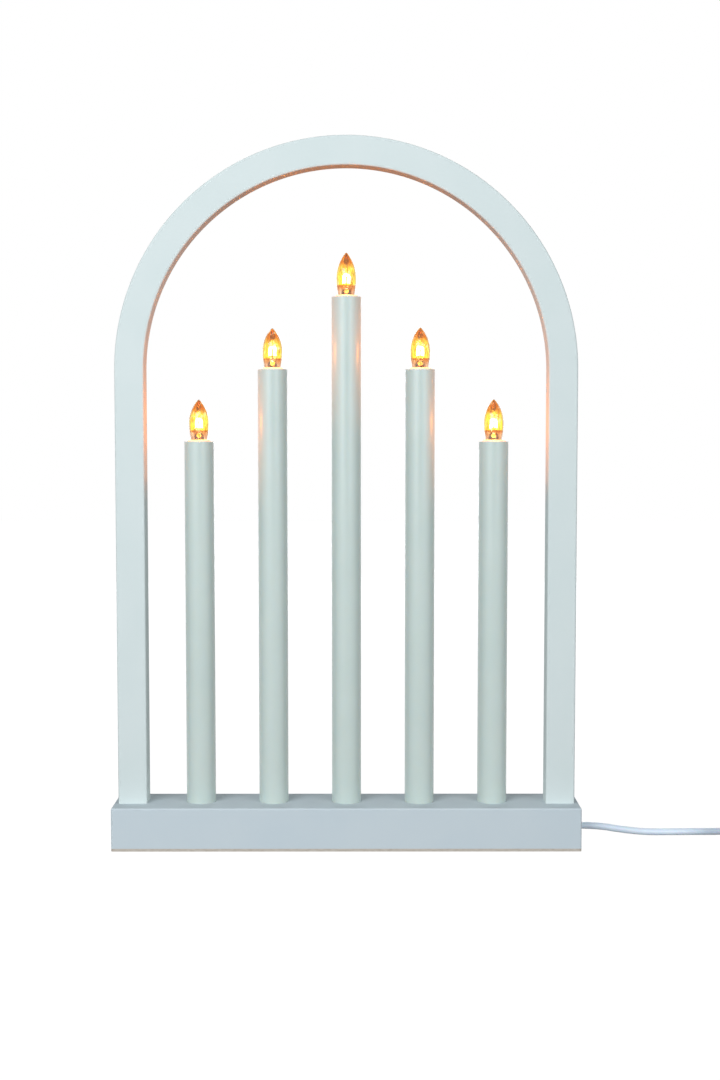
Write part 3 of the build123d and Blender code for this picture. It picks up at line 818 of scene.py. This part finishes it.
@dataclass
class RoundArch:
    """The arch: two legs and a round crown in one piece, with eased long edges."""

    finishes: "Finishes"
    bar_width: float = 20.5 * MM
    easing: float = 1.2 * MM
    crown_steps: int = 120
    leg_steps: int = 24

    def build(self) -> None:
        """Sweep the bar's section up one leg, round the crown and down the other."""
        low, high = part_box("arch_frame")
        half_width, half_depth = high.x, high.y
        spring = high.z - half_width
        section = eased([
            (0, -half_depth, self.easing), (0, half_depth, self.easing),
            (-self.bar_width, half_depth, self.easing), (-self.bar_width, -half_depth, self.easing),
        ])
        heights = [low.z + (spring - low.z) * step / self.leg_steps for step in range(self.leg_steps)]
        stations = [(Vector((-half_width, 0, height)), Vector((-1, 0, 0))) for height in heights]
        for step in range(self.crown_steps + 1):
            angle = math.pi * (1 - step / self.crown_steps)
            outwards = Vector((math.cos(angle), 0, math.sin(angle)))
            stations.append((Vector((0, 0, spring)) + outwards * half_width, outwards))
        stations += [(Vector((half_width, 0, height)), Vector((1, 0, 0))) for height in reversed(heights)]
        rings = [
            [place + outwards * reach + Vector((0, depth, 0)) for reach, depth in section]
            for place, outwards in stations
        ]
        add_piece("round_arch", stack(rings), self.finishes.paint, "base", ["arch_frame"])


@dataclass
class WoodenBase:
    """The base with what is under and in it: cover, screws, wires, terminals and the cord's clip."""

    finishes: "Finishes"
    painted: tuple[str, ...] = ("base_block",)
    pressed: tuple[str, ...] = ("bottom_cover",)
    screwed: tuple[str, ...] = ("cover_screws", "arch_screws", "clip_screw")
    wired: tuple[str, ...] = ("link_wires", "feed_wires", "inner_cord")
    moulded: tuple[str, ...] = ("terminal_block", "cord_clip")

    def build(self) -> None:
        """Dress the base's nodes, whose shapes are right as they are."""
        repaint(self.painted, self.finishes.shaded_base_paint)
        repaint(self.pressed, self.finishes.hardboard)
        repaint(self.screwed, self.finishes.zinc)
        repaint(self.wired, self.finishes.wire)
        repaint(self.moulded, self.finishes.terminal)
        repaint(["terminal_sleeves"], self.finishes.brass)


@dataclass
class Candle:
    """One candle: its tube, the lamp holder in its top and the glowing screw lamp."""

    number: int
    finishes: "Finishes"
    tube_wall: float = 1.0 * MM
    flange: float = 1.2 * MM
    flange_easing: float = 0.25 * MM
    collar_radius: float = 8.6 * MM
    collar_top_radius: float = 7.1 * MM
    collar_height: float = 1.2 * MM
    collar_easing: float = 0.5 * MM
    holder_gap: float = 0.12 * MM
    holder_wall: float = 1.2 * MM
    socket_radius: float = 5.45 * MM
    ledge_depth: float = 4.0 * MM
    seat_under: float = 6.6 * MM
    seat_top: float = 8.6 * MM
    opening_radius: float = 6.1 * MM
    neck_radius: float = 4.3 * MM
    neck_depth: float = 9.6 * MM
    glass_radius: float = 7.0 * MM
    glass_heights: tuple[float, ...] = (29.2 * MM, 28.6 * MM, 30.7 * MM, 29.2 * MM, 29.4 * MM)
    belly_height: float = 13.0 * MM
    flare_radius: float = 57.0 * MM
    tip_radius: float = 1.0 * MM
    least_tip: float = 0.1 * MM
    glass_wall: float = 0.55 * MM
    flare_steps: int = 12
    ogive_steps: int = 16
    tip_steps: int = 4
    inside_steps: int = 32
    bead_radius_mm: float = 1.7
    bead_half_height_mm: float = 1.6
    bead_middle_mm: float = 4.1
    bead_steps: int = 12
    lead_radius: float = 0.16 * MM
    coil_radius: float = 0.35 * MM
    coil_wire: float = 0.11 * MM
    coil_turns: int = 34
    coil_steps: int = 10
    glare_radii: tuple[float, ...] = (2.3 * MM, 1.7 * MM, 1.15 * MM)
    light_height: float = 13.0 * MM
    light_radius: float = 2.5 * MM
    light_watts: float = 0.055
    light_colour: str = "FF8618"

    def __post_init__(self) -> None:
        """Read the candle's place from its tube, and name what it stands for."""
        low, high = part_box(f"candle_tube_{self.number}")
        self.tube_radius = (high.x - low.x) / 2
        self.foot = Vector(((low.x + high.x) / 2, 0, low.z))
        self.rim = Vector((self.foot.x, 0, high.z + self.flange))
        self.tube_top = high.z - low.z
        self.glass_height = self.glass_heights[self.number - 1]
        self.lamp_body = f"lamp_{self.number}"

    def build(self) -> None:
        """Build and dress the candle from its foot to its lamp's tip."""
        self.build_tube()
        self.build_holder()
        self.build_glass()
        self.build_glass_inside()
        self.build_filament()
        self.build_glare()
        self.add_light()
        metal = [f"{kind}_{self.number}" for kind in ("screw_shell", "centre_contact", "lamp_cap")]
        repaint(metal, self.finishes.brass)
        repaint([f"lamp_foot_{self.number}"], self.finishes.vitrite)

    def build_tube(self) -> None:
        """Build the tube as a thin walled pipe."""
        inner = self.tube_radius - self.tube_wall
        outline = [
            (inner, 0), (self.tube_radius, 0), (self.tube_radius, self.tube_top), (inner, self.tube_top)
        ]
        name = f"candle_tube_{self.number}"
        pipe = lathe(outline, self.foot, segments=ROUND_STEPS)
        add_piece(f"{name}_pipe", pipe, self.finishes.tube, "base", [name])

    def build_holder(self) -> None:
        """Build the lamp holder: flange on the tube's end with the socket under it, and the lit collar."""
        node = f"lamp_holder_{self.number}"
        depth = self.rim.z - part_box(node)[0].z
        inner = self.tube_radius - self.tube_wall - self.holder_gap
        body = eased([
            (self.opening_radius, -self.ledge_depth, 0),
            (self.opening_radius, 0, 0),
            (self.tube_radius, 0, self.flange_easing),
            (self.tube_radius, -self.flange, 0),
            (inner, -self.flange, 0),
            (inner, -depth, 0),
            (inner - self.holder_wall, -depth, 0),
            (inner - self.holder_wall, self.seat_under - depth, 0),
            (0, self.seat_under - depth, 0),
            (0, self.seat_top - depth, 0),
            (self.socket_radius, self.seat_top - depth, 0),
            (self.socket_radius, -self.ledge_depth, 0),
        ])
        collar = eased([
            (self.opening_radius, 0, 0),
            (self.collar_radius, 0, 0),
            (self.collar_radius - self.collar_easing, self.collar_height / 2, self.collar_easing),
            (self.collar_top_radius, self.collar_height, self.collar_easing / 2),
            (self.opening_radius, self.collar_height, 0),
        ])
        moulding = lathe(body, self.rim, segments=ROUND_STEPS)
        add_piece(f"{node}_moulding", moulding, self.finishes.holder, "base", [node])
        ring = lathe(collar, self.rim, segments=ROUND_STEPS)
        add_piece(f"{node}_collar", ring, self.finishes.collar, "base")

    def glass_outline(self, wall: float) -> Outline:
        """Half outline of the glass from its neck to its tip.

        Args:
            wall: How far inside the glass's outer face the outline runs.

        Returns:
            Radius and height above the rim of each point.
        """
        flare = self.flare_radius
        rise = self.glass_height - self.tip_radius - self.belly_height
        swell = self.glass_radius - self.tip_radius
        ogive = (self.glass_radius**2 - self.tip_radius**2 + rise**2) / (2 * swell)
        neck = self.neck_radius - wall
        foot = -math.sqrt((flare - wall) ** 2 - (flare - self.glass_radius + neck) ** 2)
        slope = math.atan2(rise, ogive - self.glass_radius)
        points = [(neck, -self.neck_depth + wall)]
        for step in range(self.flare_steps + 1):
            drop = foot * (1 - step / self.flare_steps)
            reach = math.sqrt((flare - wall) ** 2 - drop**2)
            points.append((self.glass_radius - flare + reach, self.belly_height + drop))
        for step in range(1, self.ogive_steps + 1):
            angle = slope * step / self.ogive_steps
            points.append((
                self.glass_radius - ogive + (ogive - wall) * math.cos(angle),
                self.belly_height + (ogive - wall) * math.sin(angle),
            ))
        tip = max(self.tip_radius - wall, self.least_tip)
        for step in range(1, self.tip_steps + 1):
            angle = slope + (math.pi / 2 - slope) * step / self.tip_steps
            points.append((tip * math.cos(angle), self.belly_height + rise + tip * math.sin(angle)))
        return points

    def build_glass(self) -> None:
        """Build the glass shell, which is closed at its neck."""
        outline = [(0, -self.neck_depth)] + self.glass_outline(0)
        outline += list(reversed(self.glass_outline(self.glass_wall)))
        outline.append((0, self.glass_wall - self.neck_depth))
        node = f"lamp_glass_{self.number}"
        skin = lathe(outline, self.rim, closed=False)
        glass = self.finishes.glass(self.rim.z, self.glass_height)
        shell = add_piece(f"{node}_shell", skin, glass, self.lamp_body, [node], crease=60)
        keep_unlit(shell)

    def build_glass_inside(self) -> None:
        """Build what is fused into the glass: stem, bead, and the drop where the tip was drawn off."""
        floor = (self.glass_wall - self.neck_depth) / MM
        stem = [
            (0, floor), (3.5, floor), (3.5, 3.2), (3.1, 4.8), (1.9, 6.0), (0, 6.3), (0, 5.9), (1.7, 5.6),
            (2.7, 4.6), (3.1, 3.1), (3.1, floor + 0.4), (0, floor + 0.4),
        ]
        angles = [math.pi * (step / self.bead_steps - 0.5) for step in range(self.bead_steps + 1)]
        bead = [
            (
                self.bead_radius_mm * math.cos(angle),
                self.bead_middle_mm + self.bead_half_height_mm * math.sin(angle),
            )
            for angle in angles
        ]
        top = self.glass_height / MM
        drop = [
            (0, top - 8.4), (1.0, top - 8.1), (1.7, top - 7.2), (1.85, top - 6.0), (1.5, top - 4.4),
            (0.9, top - 2.6), (0.3, top - 1.2), (0, top - 1.2),
        ]
        glasses = (self.finishes.stem, self.finishes.bead, self.finishes.drop)
        for kind, outline, material in zip(("stem", "bead", "drop"), (stem, bead, drop), glasses):
            sized = [(r * MM, z * MM) for r, z in outline]
            skin = lathe(sized, self.rim, closed=False, segments=self.inside_steps)
            piece = add_piece(
                f"lamp_{kind}_{self.number}", skin, material, self.lamp_body, crease=60
            )
            keep_unlit(piece)

    def build_filament(self) -> None:
        """Build the coiled filament on its two bare lead wires."""
        for name, way in (("left", -1), ("right", 1)):
            route = [(0.9, 4.6), (0.95, 6.6), (2.5, 8.6), (2.6, 9.2)]
            points = [self.rim + Vector((way * x, 0, z)) * MM for x, z in route]
            lead = add_wire(f"lamp_lead_{name}_{self.number}", points, self.lead_radius, self.finishes.nickel)
            dress(lead, self.lamp_body, ())
        bends = [
            (-2.6, 9.0), (-2.35, 12.0), (-2.1, 14.6), (0, 16.8), (2.1, 14.6), (2.35, 12.0), (2.6, 9.0)
        ]
        loop = smooth_points([self.rim + Vector((x, 0, z)) * MM for x, z in bends])
        points = []
        last = len(loop) - 1
        steps = self.coil_turns * self.coil_steps
        for step in range(steps + 1):
            number = round(step / steps * last)
            onwards = (loop[min(last, number + 2)] - loop[max(0, number - 2)]).normalized()
            angle = 2 * math.pi * step / self.coil_steps
            across = onwards.cross(Vector((0, 1, 0))).normalized()
            spoke = Vector((0, 1, 0)) * math.cos(angle) + across * math.sin(angle)
            points.append(loop[number] + spoke * self.coil_radius)
        hot = self.finishes.filament
        coil = add_wire(f"filament_{self.number}_coil", points, self.coil_wire, hot, "POLY")
        keep_unlit(coil)
        dress(coil, self.lamp_body, (f"filament_{self.number}",))

    def build_glare(self) -> None:
        """Build the light round the filament as fat loops along it, from the outermost inwards."""
        bends = [
            (-1.45, 9.6), (-1.45, 11.5), (-1.5, 13.9), (-1.2, 14.9), (0, 15.0), (1.2, 14.9), (1.5, 13.9),
            (1.45, 11.5), (1.45, 9.6),
        ]
        points = [self.rim + Vector((x, 0, z)) * MM for x, z in bends]
        for number, (material, radius) in enumerate(zip(self.finishes.glares, self.glare_radii), start=1):
            glare = add_wire(f"lamp_glare_{self.number}_{number}", points, radius, material)
            keep_unlit(glare)
            dress(glare, self.lamp_body, ())

    def add_light(self) -> None:
        """Light the neighbourhood from the filament's middle."""
        data = bpy.data.lights.new(f"lamp_light_{self.number}", "POINT")
        data.energy = self.light_watts
        data.color = linear(self.light_colour)[:3]
        data.shadow_soft_size = self.light_radius
        light = bpy.data.objects.new(data.name, data)
        light.location = self.rim + Vector((0, 0, self.light_height))
        # Behind glass the filament and the glare are seen in its place
        light.visible_transmission = False
        bpy.context.scene.collection.objects.link(light)
        light.parent = frame["bodies"][self.lamp_body]


class Finishes:
    """Every material of the object, made once."""

    def __init__(self) -> None:
        """Build the materials from their finishes."""
        # Lacquer: matt and pale on the arch. The base has a cooler and darker copy of it, which is painted
        # shade
        self.paint = SatinLacquer("sprayed_satin_lacquer", "D7E0DD", 0.55, tone="DAE2DF").material()
        self.shaded_base_paint = SatinLacquer("base_lacquer_painted_shade", "CAD4D8", 0.55, tone="CDD6D9").material()
        self.hardboard = PressedFibre("pressed_hardboard", "CAC0B4", 0.8, tone="BAAEA0").material()
        # Hard plastics: satin, with faint lines along the tubes, and a collar that light passes into, whose
        # warm white is partly painted lamp glow
        self.tube = RigidPlastic(
            "extruded_rigid_pvc", "C8D4CD", 0.35, tone="CBD6CF", glow_mm=1.0,
            reliefs=(Relief(size_mm=1.5, height_mm=0.02, strength=0.2, stretch=(1, 1, 60)),),
        ).material()
        self.holder = RigidPlastic(
            "moulded_polycarbonate", "CCD7CF", 0.35, tone="CFD9D1", glow_mm=0.5
        ).material()
        # The collar is brighter and warmer than the holder's plastic: painted glow of the lamp, over the
        # light that really gets into it
        self.collar = RigidPlastic(
            "translucent_collar_painted_glow", "FFF4DE", 0.3, tone="FFF0D4", glow_mm=2.5
        ).material()
        self.terminal = RigidPlastic("moulded_polyamide", "C9CAC4", 0.5, tone="D2D3CD").material()
        self.tie = RigidPlastic("nylon_tie_strap", "E6E8EA", 0.4, tone="DADDE0").material()
        # Soft plastics: a cool white cord and plug, and plain white core wires, all with a dull shine
        self.plug = SoftSheath("moulded_plug_pvc", "DDE8F2", 0.45, tone="E2ECF6").material()
        self.sheath = SoftSheath("cord_sheath_pvc", "E4F0FD", 0.4, tone="EAF4FF").material()
        self.wire = SoftSheath("core_insulation_pvc", "E6E6E2", 0.5, tone="DADAD6").material()
        # Metals: bright, with fine marks. Vitrite is a black glass, smooth and glossy like a hard plastic
        self.brass = WorkedMetal("rolled_brass", "D9B25C", 0.28, tone="C9A04A").material()
        self.zinc = WorkedMetal("zinc_plated_steel", "C6C8C8", 0.35, tone="B8BAB8").material()
        self.nickel = WorkedMetal("nickel_plated_brass", "CFCDC8", 0.18, tone="C4C2BC").material()
        self.vitrite = RigidPlastic("black_vitrite_glass", "1A1A1F", 0.12, tone="24242A").material()
        # Glass and light in the lamps: on the clear glass, brown is painted shade where it only bends light
        # and yellow is painted glow; the coil and its glare are the lamp's own light
        # The stem's brown is painted shade of the dark holder seen through it
        self.stem = PaintedLightGlass(
            "stem_glass_painted_shade", "FFFFFF", 0.1, stops=((0.0, "8C6C48"), (1.0, "98703C")), streak_shade="543820",
            streak_mm=1.8, edge="805430", glow=0.0,
        ).material()
        # The bead's yellow glow is painted light of the coil
        self.bead = PaintedLightGlass(
            "bead_glass_painted_glow", "FFFFFF", 0.05, stops=((0.0, "FFE070"), (1.0, "FFE070")), streak_shade="A8641E",
            streak_mm=0.6, highlight_mm=0.8, edge="FFD850", edge_start=0.3, glow=10.0,
        ).material()
        # The drop's brown is painted shade
        self.drop = PaintedLightGlass(
            "drawn_off_glass_painted_shade", "FFFFFF", 0.15, stops=((0.0, "8C6438"), (1.0, "8C6438")), streak_shade="503820",
            streak_mm=1.4, edge="6E4626", glow=0.0,
        ).material()
        self.filament = Glare("glowing_tungsten", "FFF2C8", 20.0, 1.0).material()
        self.glares = [
            Glare("glare_outer", "FFE040", 1.2, 0.2).material(),
            Glare("glare_middle", "FFF6A0", 3.0, 0.4).material(),
            Glare("glare_inner", "FFFFF8", 25.0, 0.95).material(),
        ]

    def glass(self, rim_height: float, height: float) -> Material:
        """Glass of one lamp, whose painted light is laid out between its rim and its tip.

        Args:
            rim_height: Height of the rim above the floor.
            height: Height of the glass above the rim.

        Returns:
            The material.
        """
        # Painted glow of the coil: pale at the rim, amber under the coil, yellow round it, amber again
        # towards the tip
        stops = (
            (0.0, "EED0BA"), (0.12, "ECCCB0"), (0.21, "E6AE70"), (0.255, "DC8C30"), (0.27, "FFF070"),
            (0.45, "FFF684"), (0.62, "FFF07C"), (0.7, "F8D068"), (0.78, "E8A440"), (1.0, "DC9634"),
        )
        return PaintedLightGlass(
            f"lamp_glass_at_{rim_height / MM:.0f}", "FFFFFF", 0.02, foot_height=rim_height, height=height,
            stops=stops,
        ).material()


@dataclass
class Studio:
    """A plain pale floor, a white background and soft lights."""

    floor_half: float = 4.0
    floor_drop: float = 0.2 * MM
    floor_tone: str = "747474"
    floor_white: float = 1.07
    floor_shown_white: float = 0.93
    lamp_size: float = 1.1
    lamp_colour: str = "F3F9FF"
    lamp_aim: Triple = (0.0, 0.0, 0.25)
    room_light: float = 0.15
    # Each lamp's name, watts and place
    lamps: tuple[tuple[str, float, Triple], ...] = (
        ("key", 24.2, (-0.85, -1.45, 0.8)),
        ("fill", 21.0, (1.25, -1.75, 0.8)),
        ("back", 15.0, (0.0, 1.9, 0.55)),
    )

    def build(self) -> None:
        """Make the floor, the room's light and the lamps."""
        self.build_floor()
        self.build_room()
        for name, watts, place in self.lamps:
            self.add_lamp(name, watts, place)
        bpy.context.scene.view_settings.view_transform = "Standard"

    def build_floor(self) -> None:
        """Lay a white floor that keeps only a soft part of the object's shadow."""
        skin = bmesh.new()
        half = self.floor_half
        corners = [(-half, -half), (half, -half), (half, half), (-half, half)]
        skin.faces.new([skin.verts.new((x, y, -self.floor_drop)) for x, y in corners])
        mesh = bpy.data.meshes.new("floor")
        skin.to_mesh(mesh)
        skin.free()
        floor = bpy.data.objects.new("floor", mesh)
        bpy.context.scene.collection.objects.link(floor)
        material = bpy.data.materials.new("studio_paper")
        material.use_nodes = True
        tree = material.node_tree
        tree.nodes.clear()
        seen = add_seen(tree)
        tone = add_node(
            tree, "ShaderNodeMix", {6: linear(self.floor_tone), 7: linear("FFFFFF")}, {0: seen},
            data_type="RGBA",
        )
        paper = add_node(tree, "ShaderNodeBsdfDiffuse", links={"Color": tone.outputs[2]})
        white = add_node(tree, "ShaderNodeEmission", {"Strength": self.floor_white})
        share = add_node(
            tree, "ShaderNodeMath", {1: self.floor_shown_white}, {0: seen}, operation="MULTIPLY"
        )
        both = add_node(
            tree, "ShaderNodeMixShader", links={
                0: share.outputs["Value"], 1: paper.outputs["BSDF"], 2: white.outputs["Emission"],
            },
        )
        add_node(tree, "ShaderNodeOutputMaterial", links={"Surface": both.outputs["Shader"]})
        # The paper's white is only shown and doesn't light the object, so it isn't sampled
        material.cycles.emission_sampling = "NONE"
        mesh.materials.append(material)

    def build_room(self) -> None:
        """Light the room softly from all round, and show it white where it is seen."""
        world = bpy.data.worlds.new("room")
        bpy.context.scene.world = world
        world.use_nodes = True
        tree = world.node_tree
        tree.nodes.clear()
        strength = add_node(
            tree, "ShaderNodeMapRange", {"To Min": self.room_light, "To Max": 1.0},
            {"Value": add_seen(tree)},
        )
        room = add_node(
            tree, "ShaderNodeBackground", {"Color": linear("FFFFFF")},
            {"Strength": strength.outputs["Result"]},
        )
        add_node(tree, "ShaderNodeOutputWorld", links={"Surface": room.outputs["Background"]})

    def add_lamp(self, name: str, watts: float, place: Triple) -> None:
        """Add a soft square lamp that looks at the middle of the object.

        Args:
            name: The lamp's name.
            watts: Its strength.
            place: Where it stands.
        """
        data = bpy.data.lights.new(name, "AREA")
        data.energy = watts
        data.size = self.lamp_size
        data.color = linear(self.lamp_colour)[:3]
        lamp = bpy.data.objects.new(name, data)
        lamp.location = place
        lamp.rotation_euler = (Vector(self.lamp_aim) - Vector(place)).to_track_quat("-Z", "Y").to_euler()
        # The lamps light the object, but the glass shows the white room instead of them
        lamp.visible_camera = False
        lamp.visible_transmission = False
        bpy.context.scene.collection.objects.link(lamp)


def main() -> None:
    """Build the camera, the cord, the studio and the pieces, in that order."""
    logging.basicConfig(level=logging.INFO, format="%(message)s")
    Camera().build()
    finishes = Finishes()
    MainsLead(finishes).build()
    Studio().build()
    WoodenBase(finishes).build()
    RoundArch(finishes).build()
    for number in CANDLES:
        Candle(number, finishes).build()


if __name__ == "__main__":
    main()
